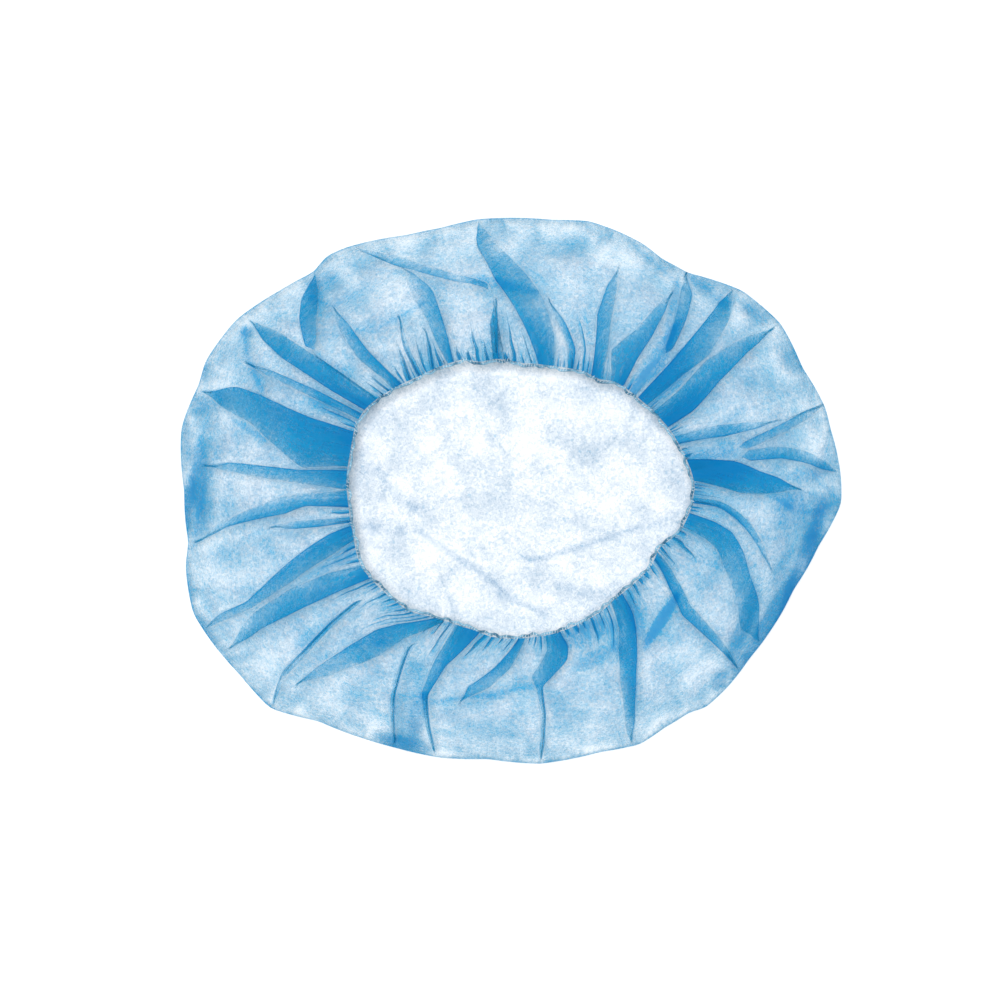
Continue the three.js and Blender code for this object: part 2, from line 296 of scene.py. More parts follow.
PLEATS = (
    pleat(R, 1.8, (0, 9.5, 7), (0.3, 5, 8), (0.44, 3, 5), (0.69, 1, 0.8), (0.78, 0, 0)),
    pleat(F, 0.6, (0.28, 9.8, 0), (0.4, 9.8, 2.4), (0.6, 9, 2.4), (0.76, 7.2, 2.4), (0.97, 3.5, 1.5)),
    pleat(R, 0.1, (0.28, 12.4, 0), (0.4, 12.4, 1.7), (0.72, 14, 1.6), (0.98, 15.5, 1)),
    pleat(F, 0.2, (0, 20.5, 2.6), (0.3, 17.8, 3), (0.5, 16.2, 1.4), (0.63, 15.6, 0.4)),
    pleat(F, 0.8, (0, 29.5, 7), (0.2, 30, 7), (0.45, 32.4, 5.6), (0.7, 32.8, 3), (0.92, 32, 0.6)),
    pleat(R, 0.9, (0, 38.6, 4), (0.3, 38.8, 4.6), (0.5, 38.8, 5.6), (0.75, 40.4, 3.6),
          (0.97, 42.4, 1)),
    pleat(F, 0.5, (0.28, 43.4, 0), (0.4, 44.3, 1.6), (0.64, 46.8, 2.2), (0.83, 49, 2.2), (0.96, 51, 1)),
    pleat(F, 0.6, (0, 50, 4.4), (0.22, 53.5, 8), (0.42, 52, 4.4), (0.77, 51.5, 0.6)),
    pleat(R, 0.2, (0, 57.8, 4.4), (0.2, 61, 4.4), (0.4, 64, 4), (0.6, 64.8, 2.4), (0.75, 65, 0.4)),
    pleat(F, 0.2, (0, 69, 1.8), (0.13, 70.6, 2.4), (0.3, 76.4, 2.4), (0.42, 80.4, 1.0),
          (0.48, 81.4, 0)),
    pleat(R, 0.4, (0, 79.2, 6), (0.2, 82.2, 9), (0.44, 87.4, 10), (0.55, 90.4, 9.6), (0.8, 96, 4.2),
          (0.98, 97, 1.4)),
    pleat(F, 0.2, (0, 100, 1.6), (0.25, 98, 2), (0.4, 96, 1), (0.46, 96, 0), (1, 100, 0)),
    pleat(R, 0.2, (0.48, 97.4, 0), (0.53, 99, 3), (0.65, 108.4, 4.6), (0.77, 115.2, 4.2),
          (0.97, 122.6, 1.4)),
    pleat(F, 0.1, (0, 117.3, 2), (0.18, 116, 3.8), (0.34, 115, 4), (0.52, 114.7, 5), (0.7, 115.2, 3),
          (0.77, 117, 0), (1, 124.4, 0)),
    pleat(F, 0.1, (0, 124.4, 1.2), (0.15, 121, 1.2), (0.25, 119.2, 0.8), (0.3, 119.2, 0), (0.7, 119.6, 0),
          (1, 125.8, 0)),
    pleat(R, 0.1, (0, 129.2, 1.3), (0.2, 127, 1.3), (0.39, 123.6, 0.8), (0.45, 123.2, 0), (0.7, 123.4, 0),
          (1, 127.1, 0)),
    pleat(F, 0.0, (0, 133.4, 1.4), (0.24, 128.6, 1.4), (0.3, 128, 0), (0.7, 128.6, 0), (1, 128.4, 0)),
    pleat(F, 0.3, (0, 137.6, 2.6), (0.3, 137.5, 3), (0.46, 136.3, 2.6), (0.66, 134.4, 1.4),
          (0.74, 133.4, 0), (1, 129.9, 0)),
    pleat(R, 1.0, (0.46, 145, 0), (0.56, 143.4, 2.6), (0.75, 138.6, 4), (0.87, 135.4, 3.4),
          (0.98, 131.8, 1.4)),
    pleat(R, 1.0, (0, 147.8, 5), (0.24, 147.8, 5), (0.4, 147.6, 4.6), (0.6, 147.6, 4),
          (0.9, 146.8, 1.6)),
    pleat(F, 0.2, (0, 153, 1.8), (0.3, 153.2, 1.8), (0.74, 154, 0.8)),
    pleat(F, 1.0, (0, 163.8, 11), (0.26, 165.8, 13), (0.42, 163.8, 9.2), (0.6, 161.8, 6),
          (0.75, 161.4, 4.8), (0.94, 162, 0.8)),
    pleat(F, 0.4, (0, 174, 6), (0.27, 174.8, 3.2), (0.46, 174.8, 2.6), (0.68, 174.6, 1.6),
          (0.82, 175, 0.5)),
    pleat(R, 0.5, (0, 180.2, 5), (0.25, 180.8, 3), (0.38, 182.3, 4), (0.56, 184.2, 2.4),
          (0.74, 186, 1.2), (0.93, 189, 0.6)),
    pleat(R, 0.1, (0, 187.2, 1.4), (0.2, 187.4, 1.8), (0.45, 187.4, 1.5), (0.58, 188, 0), (1, 194, 0)),
    pleat(F, 0.6, (0, 191.6, 4.6), (0.13, 193.8, 5.8), (0.4, 198.8, 4.2), (0.55, 201.2, 2.4),
          (0.68, 202.8, 1.4), (0.85, 203.2, 1.2), (0.98, 204, 0.8)),
    pleat(R, 0.5, (0, 205.4, 4.8), (0.17, 204.7, 5.6), (0.39, 205, 5.2), (0.69, 206.4, 3.2),
          (0.92, 209, 0.8)),
    pleat(F, 0.0, (0.1, 213, 0), (0.16, 213, 0.9), (0.36, 214.6, 0.9), (0.6, 217, 0.9),
          (0.78, 218.3, 0.9), (0.98, 222, 0.7)),
    pleat(F, 0.4, (0, 236.4, 2.6), (0.1, 230.5, 8), (0.2, 227, 7.8), (0.38, 225.4, 7), (0.55, 223.4, 4),
          (0.75, 221.4, 0.8), (0.85, 222, 0), (1, 226, 0)),
    pleat(R, 0.0, (0.18, 235, 0), (0.26, 234, 0.7), (0.63, 239, 0.8), (0.95, 245, 0.6)),
    pleat(R, 0.8, (0, 248, 9.6), (0.14, 246.6, 6.8), (0.3, 245, 3.6), (0.54, 245.5, 1.4),
          (0.75, 249.5, 0.8), (0.98, 254, 0.6)),
    pleat(F, 0.5, (0, 270.6, 2.4), (0.24, 264.5, 5), (0.42, 258, 5.4), (0.52, 255, 0.8), (0.6, 255, 0),
          (1, 261, 0)),
    pleat(R, 0.3, (0, 283.4, 5.6), (0.12, 284.2, 7.6), (0.22, 281.8, 9.4), (0.3, 278, 7.2),
          (0.38, 276.6, 1.6), (0.6, 277.5, 0.8), (0.98, 276.2, 0.7)),
    pleat(R, 0.4, (0, 314, 5.4), (0.15, 311.2, 6.2), (0.3, 306.8, 6.4), (0.5, 301.8, 5),
          (0.7, 298.5, 2.8), (0.9, 296, 1.2), (0.97, 295.7, 0.6)),
    pleat(F, 0.6, (0, 337, 3), (0.2, 330.8, 3.4), (0.4, 325.8, 3.2), (0.84, 323.2, 1), (0.97, 322, 0.6)),
    pleat(R, 0.4, (0, 352.6, 4.6), (0.2, 350, 5), (0.34, 347.6, 5.4), (0.52, 342.2, 6), (0.78, 333.2, 7),
          (0.95, 329, 2.4)),
    pleat(F, 0.2, (0, 359.4, 1.4), (0.18, 358, 1.5), (0.3, 355.4, 1.5), (0.45, 351.8, 1.5),
          (0.74, 344, 0.9), (0.84, 341.5, 0)),
)


@dataclass(frozen=True)
class SectionPoint:
    """A point across a pleat. plain is its place in open cloth and margin its place beside the
    closed pleat, as shares of the margin. edge is the edge it follows, turn how far it stands
    past that edge and level its height, as shares of the layer step. crease is how sharply it is
    creased, and thick how much thicker than one layer the cloth looks there."""

    plain: float
    edge: float
    margin: float
    turn: float
    level: float
    crease: float
    thick: float


PLEAT_SECTION = tuple(SectionPoint(*row) for row in (
    (-1.0, -1, -1, 0, 0, 0, 0),
    (-0.88, -1, -0.4, 0, 0.55, 0, 0),
    (-0.76, -1, 0, -0.4, 1, 0, 0),
    (-0.62, -0.3, 0, 0, 1.05, 0, 0.2),
    (-0.5, 0.5, 0, 0, 1.05, 0, 0.4),
    (-0.4, 1, 0, -0.7, 1, 0.1, 0.5),
    (-0.3, 1, 0, 0, 0.95, 1, 0.6),
    (-0.2, 1, 0, 0.3, 0.6, 1, 0.6),
    (-0.1, 1, 0, 0, 0.25, 0.5, 0.5),
    (0.0, 0, 0, 0, 0, 0, 0.1),
    (0.1, -1, 0, 0, -0.25, 0, -0.25),
    (0.2, -1, 0, -0.3, -0.6, 0, -0.4),
    (0.3, -1, 0, 0, -0.95, 0, -0.25),
    (0.4, -1, 0, 0.7, -1, 0, -0.1),
    (0.52, -0.2, 0, 0, -1.05, 0, 0.1),
    (0.65, 0.6, 0, 0, -1, 0, 0.3),
    (0.8, 1, 0, 0.4, -0.8, 0, 0.2),
    (1.0, 1, 1, 0, 0, 0, 0),
))


@dataclass(frozen=True)
class GatherPoint:
    """A point across a small gather: its place in open and in folded cloth, as shares of the
    gather's width, with its level and thickness as for a pleat."""

    plain: float
    folded: float
    level: float
    thick: float


GATHER_SECTION = tuple(GatherPoint(*row) for row in (
    (0.0, 0.06, 0.0, 0.0),
    (0.17, 0.34, 0.9, 0.3),
    (0.34, 0.7, 0.8, 0.9),
    (0.5, 0.74, 0.2, 0.9),
    (0.66, 0.28, -0.4, 0.2),
    (0.83, 0.4, -0.7, 0.1),
))


@dataclass(frozen=True)
class Crease:
    """A crease pressed into the cloth, along corners in mm from the cap's middle. It is drawn
    only as a darker line: partly the cloth doubled in the fold, partly painted shade of a fold
    that the sheet doesn't model.
    """

    dark: float
    wide: float
    corners: tuple[tuple[float, float], ...]


SKIRT_CREASES = tuple(Crease(*row) for row in (
    (0.7, 1.3, ((13.2, -98.7), (-15.3, -103.7), (-40.8, -107.4))),
    (0.5, 2.2, ((83.7, -52.7), (76.2, -65.8), (68.0, -79.7))),
    (0.4, 1.2, ((89.7, -23.0), (106.8, -20.8))),
    (0.5, 1.2, ((89.9, -34.1), (112.8, -39.7))),
    (0.6, 1.4, ((60.4, 129.0), (88.3, 103.9))),
    (0.9, 3.0, ((90.7, 111.9), (108.3, 96.3))),
    (0.4, 1.0, ((143.5, -8.6), (127.0, 0.2))),
    (0.4, 1.0, ((111.4, 61.4), (125.5, 62.1))),
    (0.5, 1.2, ((150.8, -11.3), (169.3, -5.9))),
    (0.5, 1.0, ((105.1, 32.7), (119.0, 42.5))),
    (0.4, 1.0, ((98.9, 25.0), (122.1, 23.9))),
    (0.6, 1.0, ((127.7, 2.8), (142.1, -9.0))),
    (0.4, 1.0, ((91.7, -23.9), (89.6, -33.7))),
    (0.4, 1.0, ((105.6, -23.4), (105.6, -33.7))),
    (0.6, 1.1, ((-104.5, 99.7), (-90.6, 94.0), (-82.4, 101.2))),
    (0.7, 1.0, ((-80.3, 81.1), (-68.5, 82.1), (-44.8, 95.5))),
    (0.4, 1.0, ((-85.5, 116.6), (-74.7, 114.1), (-56.7, 112.0))),
    (0.6, 1.0, ((-29.9, 78.5), (-10.8, 76.0))),
    (0.5, 1.2, ((-153.5, 37.9), (-161.7, 22.4))),
    (0.5, 1.2, ((-157.1, 65.7), (-157.1, 51.2))),
    (0.6, 1.2, ((156.0, 5.9), (169.4, -4.9))),
    (0.4, 1.0, ((145.7, 10.0), (150.9, -19.8))),
    (0.5, 1.2, ((124.1, -23.9), (155.5, -22.9))),
    (0.9, 1.8, ((-137.0, 83.0), (-134.0, 68.0), (-127.0, 52.0))),
    (0.6, 1.6, ((-149.4, 21.4), (-153.5, 10.0), (-157.1, -1.3), (-160.7, -12.6), (-163.3, -29.1))),
))

CROWN_CREASES = tuple(Crease(*row) for row in (
    (0.5, 1.6, ((-22.1, 64.1), (-14.9, 49.7))),
    (0.4, 1.6, ((-14.9, 34.8), (-9.8, 23.4))),
    (0.8, 1.6, ((-79.3, 17.3), (-69.5, 13.1), (-64.9, 4.4), (-54.1, -6.4), (-47.4, -9.5))),
    (0.8, 1.6, ((-79.3, -17.8), (-49.4, -19.8), (-19.6, -38.9), (4.6, -57.9))),
    (0.7, 1.6, ((-6.2, -53.3), (17.5, -63.1))),
    (0.7, 1.6, ((4.6, -33.7), (11.3, -35.3), (24.2, -32.2), (61.3, -20.3), (81.9, -14.7))),
    (0.6, 1.6, ((24.2, -48.2), (43.8, -54.3))),
))


@dataclass(frozen=True)
class Patch:
    """A place where the cloth's tone is made darker or lighter, an ellipse in mm turned by degrees,
    whose soft edge ends a little past it, in shares of its size. The darker ones along the
    outline stand for cloth doubled in tucks; the narrow lighter slits between pleats are
    painted highlights."""

    thick: float
    middle: tuple[float, float]
    size: tuple[float, float]
    turned: float
    soft: float = 0.9
    edge: float = 1.2


SKIRT_PATCHES = tuple(Patch(*row) for row in (
    (1.3, (-166.0, -6.0), (46.0, 7.0), 84.0),
    (1.0, (-158.0, -14.0), (30.0, 9.0), 76.0),
    (0.8, (-166.5, 28.0), (30.0, 5.0), 95.0),
    (0.6, (-152.0, 46.0), (18.0, 12.0), 40.0),
    (0.8, (-158.0, 62.0), (16.0, 5.0), 60.0),
    (0.7, (-166.0, -52.0), (30.0, 6.0), 95.0),
    (1.2, (-9.5, -104.5), (18.0, 4.0), 0.0),
    (1.1, (-66.0, -76.0), (10.0, 6.0), 70.0),
    (1.0, (-45.0, -104.0), (5.0, 5.0), 0.0),
    (1.5, (-56.0, -129.0), (34.0, 9.0), -12.0),
    (1.3, (148.0, -42.0), (80.0, 10.0), 72.0, 0.6),
    (1.3, (133.0, -66.0), (60.0, 10.0), 60.0, 0.6),
    (1.2, (119.5, -67.0), (56.0, 11.0), 72.0, 0.7),
    (1.2, (141.0, -11.0), (28.0, 22.0), -40.0),
    (0.5, (146.0, 65.0), (44.0, 14.0), -52.0),
    (0.9, (124.0, 93.0), (22.0, 8.0), -40.0),
    (1.1, (40.0, -72.0), (36.0, 12.0), 24.0, 0.7),
    (0.9, (54.6, -81.6), (15.0, 5.0), -65.0, 0.5),
    (0.8, (-88.0, -35.0), (30.0, 8.0), 32.0, 0.7),
    (0.5, (-52.0, -104.0), (60.0, 22.0), 78.0),
    (1.4, (68.0, 58.0), (34.0, 7.0), 44.0, 0.6),
    (1.0, (-4.0, 105.3), (38.0, 5.0), -12.0, 0.3),
    (0.9, (157.0, -22.0), (40.0, 14.0), 80.0),
    (0.8, (117.0, -90.0), (20.0, 7.0), 60.0),
    (0.8, (133.0, -84.0), (14.0, 12.0), 60.0),
    (0.7, (158.0, 12.0), (16.0, 12.0), 0.0),
    (1.0, (-100.0, 101.0), (10.0, 26.0), 8.0),
    (0.9, (-90.0, 64.0), (26.0, 9.0), -30.0),
    (0.8, (-61.0, 50.0), (24.0, 9.0), 30.0),
    (0.7, (83.0, 62.0), (44.0, 16.0), 48.0),
    (0.7, (88.0, 44.0), (30.0, 14.0), 40.0),
    (0.7, (104.0, 12.0), (34.0, 30.0), 0.0),
    (0.5, (106.0, -12.0), (30.0, 16.0), -20.0),
    (0.7, (53.0, -73.0), (8.0, 20.0), 0.0),
    (0.6, (62.0, -92.0), (10.0, 70.0), 0.0),
    (1.8, (76.0, -66.0), (32.0, 6.0), 57.0, 0.4),
    (0.8, (104.0, 19.0), (26.0, 7.0), 8.0, 0.6),
    (1.0, (82.0, 88.0), (44.0, 6.0), 80.0, 0.5),
    (1.2, (76.0, 72.0), (44.0, 6.0), 56.0, 0.6),
    (1.0, (84.0, 55.0), (30.0, 6.0), 42.0, 0.6),
    (0.9, (150.0, 8.0), (22.0, 8.0), 0.0, 0.6),
    (1.0, (-94.0, 43.0), (22.0, 7.0), -26.0, 0.6),
    (1.0, (-133.0, 31.0), (22.0, 4.0), -32.0, 0.5),
    (0.8, (-160.0, 44.0), (14.0, 10.0), 90.0),
    (1.0, (42.0, -85.0), (24.0, 9.0), 28.0, 0.7),
    (0.9, (-48.0, -115.0), (30.0, 9.0), 80.0, 0.6),
    (0.7, (-101.0, -73.0), (34.0, 8.0), 42.0, 0.6),
    (-0.4, (-120.0, 0.0), (60.0, 26.0), 0.0),
    (-0.5, (-24.0, 84.0), (30.0, 24.0), 0.0),
    (-0.5, (-56.0, 76.0), (30.0, 16.0), -30.0),
    (0.8, (152.0, -6.0), (36.0, 14.0), -8.0, 0.6),
    (0.8, (139.0, -38.0), (30.0, 10.0), 70.0, 0.7),
    (1.0, (107.0, -97.0), (12.0, 8.0), 60.0, 0.5),
    (1.2, (63.5, -64.0), (26.0, 7.0), -72.0, 0.6),
    (0.5, (28.0, 126.0), (36.0, 18.0), 0.0),
    (1.3, (-160.0, 8.0), (44.0, 9.0), 86.0, 0.6),
    (0.6, (-147.0, -34.0), (22.0, 16.0), 0.0),
    (0.8, (-156.0, -72.0), (24.0, 7.0), -50.0),
    (1.2, (-136.0, 82.0), (10.0, 8.0), 0.0),
    (0.8, (-93.0, 109.0), (16.0, 12.0), 0.0),
    (0.6, (-78.0, -108.0), (22.0, 14.0), -20.0),
    (0.5, (-6.0, -122.0), (40.0, 16.0), 0.0),
    (0.5, (42.0, 62.0), (12.0, 18.0), -10.0),
    (0.5, (20.0, 82.0), (6.0, 34.0), 0.0),
    # Painted highlights: the narrow lighter slits below, between the pleats.
    (-1.0, (24.0, 81.0), (24.0, 4.0), -58.0),
    (-1.0, (92.0, 72.0), (26.0, 5.0), 50.0),
    (-1.0, (-90.0, -86.0), (34.0, 4.0), 24.0),
    (-0.8, (-108.0, -11.0), (32.0, 4.0), 6.0),
    (-0.5, (50.0, 120.0), (36.0, 14.0), -10.0),
    (-0.5, (-120.0, -80.0), (30.0, 14.0), -40.0),
    (-0.6, (-60.0, 98.0), (36.0, 16.0), 10.0),
    (-0.5, (-136.0, 20.0), (26.0, 14.0), 0.0),
    (-0.5, (120.0, -60.0), (16.0, 30.0), -30.0),
    (0.4, (134.0, 51.0), (34.0, 24.0), 0.0),
    (-0.5, (4.0, 98.0), (24.0, 24.0), 0.0),
    (-0.5, (-24.0, 102.0), (20.0, 26.0), 0.0),
))

CROWN_PATCHES = tuple(Patch(*row) for row in (
    (0.5, (-6.0, -4.0), (34.0, 22.0), 0.0),
    (0.4, (-22.0, 12.0), (14.0, 10.0), 30.0),
    (0.5, (24.0, -20.0), (40.0, 16.0), 20.0),
    (0.4, (40.0, 20.0), (30.0, 22.0), -20.0),
    (0.4, (-10.0, 44.0), (24.0, 14.0), 0.0),
    (0.4, (10.0, -44.0), (44.0, 14.0), -20.0),
    (0.4, (-54.0, 24.0), (16.0, 12.0), 0.0),
    (-0.5, (-40.0, -30.0), (36.0, 20.0), -20.0),
    (-0.5, (-20.0, 28.0), (16.0, 16.0), 0.0),
    (-0.4, (16.0, 60.0), (40.0, 10.0), 0.0),
    (-0.5, (56.0, -2.0), (20.0, 24.0), 0.0),
))


@dataclass
class CapForm:
    """The form of the whole cap: its outline, opening and heights, in metres."""

    high: Vector = field(default_factory=lambda: Vector(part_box("cap_cloth")[1]))
    opening_length: float = 176 * MM
    opening_width: float = 141.4 * MM
    opening_shift: tuple[float, float] = (4.9 * MM, -3.6 * MM)
    outline_length: float = 340.4 * MM
    outline_width: float = 280.6 * MM
    floor_gap: float = 0.4 * MM
    elastic_room: float = 1.0 * MM
    fold_room: float = 2.4 * MM

    @property
    def top(self) -> float:
        """Height of the skirt's middle line where it is highest."""
        return self.high.z - self.fold_room

    def _radius(self, turn: np.ndarray, length: float, width: float) -> np.ndarray:
        """Distance from an ellipse's middle to its edge."""
        angle = np.radians(turn)
        return 1 / np.hypot(2 * np.cos(angle) / length, 2 * np.sin(angle) / width)

    def opening_point(self, turn: np.ndarray, outwards: float) -> np.ndarray:
        """Find points of the elastic's middle line.

        Args:
            turn: Directions in degrees.
            outwards: How far outside the line the points lie, in metres.

        Returns:
            An array of x and y, with the last axis of size 2.
        """
        reach = self._radius(turn, self.opening_length, self.opening_width) * OPENING.at(turn)
        angle = np.radians(turn)
        x = self.opening_shift[0] + (reach + outwards) * np.cos(angle)
        y = self.opening_shift[1] + (reach + outwards) * np.sin(angle)
        return np.stack((x, y), axis=-1)

    def plan(self, turn: np.ndarray, reach: np.ndarray) -> np.ndarray:
        """Find plan positions on the way from the opening to the outline.

        Args:
            turn: Directions in degrees.
            reach: Shares of the way, from 0 at the opening to 1 at the outline.

        Returns:
            An array of x and y, with the last axis of size 2.
        """
        inner = self.opening_point(turn, self.elastic_room)
        angle = np.radians(turn)
        size = self._radius(turn, self.outline_length, self.outline_width) * OUTLINE.at(turn)
        outer = np.stack((size * np.cos(angle), size * np.sin(angle)), axis=-1)
        share = np.asarray(reach)[..., None]
        return inner * (1 - share) + outer * share

    def height(self, turn: np.ndarray, rise: np.ndarray) -> np.ndarray:
        """Find the height of the cloth.

        Args:
            turn: Directions in degrees.
            rise: Shares of the skirt's height.

        Returns:
            Heights in metres.
        """
        return self.floor_gap + (self.top - self.floor_gap) * rise * LIFT.at(turn)


@dataclass(frozen=True)
class NonwovenFinish:
    """Spunbonded polypropylene nonwoven of about 18 g a square metre: a matt felt of fine
    filaments, see-through, so that each further layer of it deepens the blue. Its filaments lie
    in clouds of uneven thickness. A crease leaves a thin darker line: partly the cloth doubled in
    it, partly painted shade. The crown is dressed paler and thinner than the skirt, as painted
    light for the cloth that lies lit on the bright floor."""

    blue: str = "#00a2d4"
    # Painted light: the crown is mixed almost wholly toward pale, as a lit copy of the cloth on the bright
    # floor; on the skirt pale only marks the paler fibres.
    pale: str = "#aeb1c9"
    creased: str = "#007cc4"
    passed: str = "#8bd7ed"
    passed_share: float = 0.35
    # Painted light: the crown's lower cover than the skirt's makes the same cloth lighter where it lies on
    # the bright floor.
    skirt_cover: float = 0.3
    crown_cover: float = 0.2
    cloud_mm: float = 16.0
    fibre_mm: float = 1.5
    gather_mm: float = 1.9
    crumple_mm: float = 30.0
    # Crease lines add cover and deepen the colour: partly doubled cloth, partly painted shade.
    line_cover: float = 0.45
    line_depth: float = 0.4

    @property
    def ranges(self) -> tuple[tuple[str, str, float, float, float, float], ...]:
        """Rows of a new share, the share that it reads, its range there and its new range."""
        return (
            # Crumple lines along the Voronoi edges: darker lines, partly doubled cloth, partly painted
            # shade.
            ("lines", "crumples", 0.0, 0.022, 1.0, 0.0),
            ("lined", "clouds", 0.45, 0.6, 0.0, 0.6),
            ("cloudy", "clouds", 0.3, 0.7, -0.65, 0.65),
            ("fibrous", "fibres", 0.35, 0.65, -0.7, 0.7),
            ("puckers_and_highlights", "folds", 0.3, 0.7, -0.9, 1.5),
            ("one_layer", "skirt", 0.0, 1.0, self.crown_cover, self.skirt_cover),
            ("fine", "fibres", 0.3, 0.7, 1.0, 0.0),
            # Painted light: the crown takes the pale colour almost wholly, the skirt only in its paler
            # fibres.
            ("crown_light_and_pale_fibres", "skirt", 0.0, 1.0, 20.0, 0.08),
            ("layered", "thick", 0.3, 2.2, 0.0, 0.7),
        )

    @property
    def sums(self) -> tuple[tuple[str, str, str, str | float], ...]:
        """Rows of a new share, an operation, and the two shares or values that it takes."""
        return (
            ("lines", "MULTIPLY", "lines", "lined"),
            ("uneven", "ADD", "cloudy", "fibrous"),
            ("uneven", "ADD", "uneven", "lines"),
            # Streaks near the rim: darker for piled gathers, lighter as painted highlights.
            ("gathered", "MULTIPLY", "puckers_and_highlights", "edge"),
            ("uneven", "ADD", "uneven", "gathered"),
            ("layers", "ADD", "thick", 1.0),
            ("layers", "ADD", "layers", "uneven"),
            ("layers", "MAXIMUM", "layers", 0.12),
            ("layers", "MINIMUM", "layers", 3.0),
            ("cover", "MULTIPLY", "one_layer", "layers"),
            # Creases thicken and darken the cloth: partly doubled cloth, partly painted shade.
            ("creasing", "MULTIPLY", "crease", self.line_cover),
            ("cover", "ADD", "cover", "creasing"),
            ("cover", "MINIMUM", "cover", 0.95),
            ("paleness", "MULTIPLY", "fine", "crown_light_and_pale_fibres"),
            ("depth", "MULTIPLY", "crease", self.line_depth),
            ("depth", "ADD", "depth", "layered"),
        )

    def material(self) -> bpy.types.Material:
        """Make the cloth's material, which reads its patterns from the sheet's UV maps.

        Returns:
            The material.
        """
        material = bpy.data.materials.new("spunbond_nonwoven")
        material.use_nodes = True
        tree = material.node_tree
        tree.nodes.clear()
        flat, gathers = (
            add_node(tree, "ShaderNodeUVMap", {"uv_map": name}).outputs["UV"]
            for name in ("cloth", "gathers")
        )
        share = {
            name: add_node(tree, "ShaderNodeAttribute", {"attribute_name": name}).outputs["Fac"]
            for name in ("crease", "skirt", "thick", "edge")
        }
        patterns = (
            ("clouds", flat, self.cloud_mm, 3.0, 0.3),
            ("fibres", flat, self.fibre_mm, 3.0, 0.8),
            ("folds", gathers, self.gather_mm, 1.0, 0.0),
        )
        for name, place, size_mm, detail, distortion in patterns:
            share[name] = add_node(
                tree, "ShaderNodeTexNoise", {"noise_dimensions": "2D"}, Vector=place,
                Scale=1 / (size_mm * MM), Detail=detail, Roughness=0.6, Distortion=distortion,
            ).outputs[0]
        share["crumples"] = add_node(
            tree, "ShaderNodeTexVoronoi", {"feature": "DISTANCE_TO_EDGE", "voronoi_dimensions": "2D"},
            Vector=flat, Scale=1 / (self.crumple_mm * MM),
        ).outputs["Distance"]
        for name, source, low, high, to_low, to_high in self.ranges:
            share[name] = add_node(
                tree, "ShaderNodeMapRange", None, Value=share[source], From_Min=low, From_Max=high,
                To_Min=to_low, To_Max=to_high,
            ).outputs[0]
        for name, operation, first, second in self.sums:
            share[name] = add_node(
                tree, "ShaderNodeMath", {"operation": operation}, in0=share[first],
                in1=share.get(second, second),
            ).outputs[0]
        colour = linear_colour(self.blue)
        for name, code in (("paleness", self.pale), ("depth", self.creased)):
            colour = add_node(
                tree, "ShaderNodeMix", {"data_type": "RGBA"}, in0=share[name], in6=colour,
                in7=linear_colour(code),
            ).outputs[2]
        bump = add_node(
            tree, "ShaderNodeBump", None, Strength=0.2, Distance=0.2 * MM, Height=share["fibres"],
        ).outputs[0]
        matt = add_node(
            tree, "ShaderNodeBsdfPrincipled", None, Base_Color=colour, Normal=bump, Roughness=0.8,
            IOR=1.49, Specular_IOR_Level=0.1,
        ).outputs[0]
        passed = add_node(
            tree, "ShaderNodeBsdfTransparent", None, Color=linear_colour(self.passed),
        ).outputs[0]
        bare = add_node(tree, "ShaderNodeBsdfTransparent").outputs[0]
        fibre = add_node(
            tree, "ShaderNodeMixShader", None, in0=self.passed_share, in1=matt, in2=passed,
        ).outputs[0]
        shader = add_node(tree, "ShaderNodeMixShader", None, in0=share["cover"], in1=bare, in2=fibre)
        add_node(tree, "ShaderNodeOutputMaterial", None, Surface=shader.outputs[0])
        return material


@dataclass(frozen=True)
class ThreadFinish:
    """Polyester overlock thread and covered elastic: matt, slightly darker than the cloth."""

    name: str
    low_colour: str
    high_colour: str
    strand_mm: float
    roughness: float = 0.65
    sheen: float = 0.2

    def material(self) -> bpy.types.Material:
        """Make the thread's material.

        Returns:
            The material.
        """
        material = bpy.data.materials.new(self.name)
        material.use_nodes = True
        tree = material.node_tree
        tree.nodes.clear()
        place = add_node(tree, "ShaderNodeTexCoord").outputs["Object"]
        strand = add_node(
            tree, "ShaderNodeTexNoise", None, Vector=place, Scale=1 / (self.strand_mm * MM), Detail=3.0,
        ).outputs[0]
        spots = add_node(
            tree, "ShaderNodeMapRange", None, Value=strand, From_Min=0.38, From_Max=0.58,
        ).outputs[0]
        colour = add_node(
            tree, "ShaderNodeMix", {"data_type": "RGBA"}, in0=spots,
            in6=linear_colour(self.low_colour), in7=linear_colour(self.high_colour),
        ).outputs[2]
        bump = add_node(
            tree, "ShaderNodeBump", None, Strength=0.4, Distance=0.1 * MM, Height=strand,
        ).outputs[0]
        shader = add_node(
            tree, "ShaderNodeBsdfPrincipled", None, Base_Color=colour, Normal=bump,
            Roughness=self.roughness, Sheen_Weight=self.sheen,
        )
        add_node(tree, "ShaderNodeOutputMaterial", None, Surface=shader.outputs[0])
        return material


def grid_object(name: str, columns: int, rows: int) -> tuple[bpy.types.Object, np.ndarray, np.ndarray]:
    """Make a flat grid to be laid over a form.

    Args:
        name: The piece's name.
        columns: How many steps the grid has round.
        rows: How many steps the grid has along.

    Returns:
        The object, and each vertex's column and row.
    """
    mesh = bpy.data.meshes.new(name)
    work = bmesh.new()
    bmesh.ops.create_grid(work, x_segments=columns, y_segments=rows, size=1.0)
    work.to_mesh(mesh)
    work.free()
    flat = np.empty(len(mesh.vertices) * 3)
    mesh.vertices.foreach_get("co", flat)
    flat = flat.reshape(-1, 3)
    column = np.rint((flat[:, 0] + 1) / 2 * columns).astype(int)
    row = np.rint((flat[:, 1] + 1) / 2 * rows).astype(int)
    body = bpy.data.objects.new(name, mesh)
    bpy.context.scene.collection.objects.link(body)
    return body, column, row


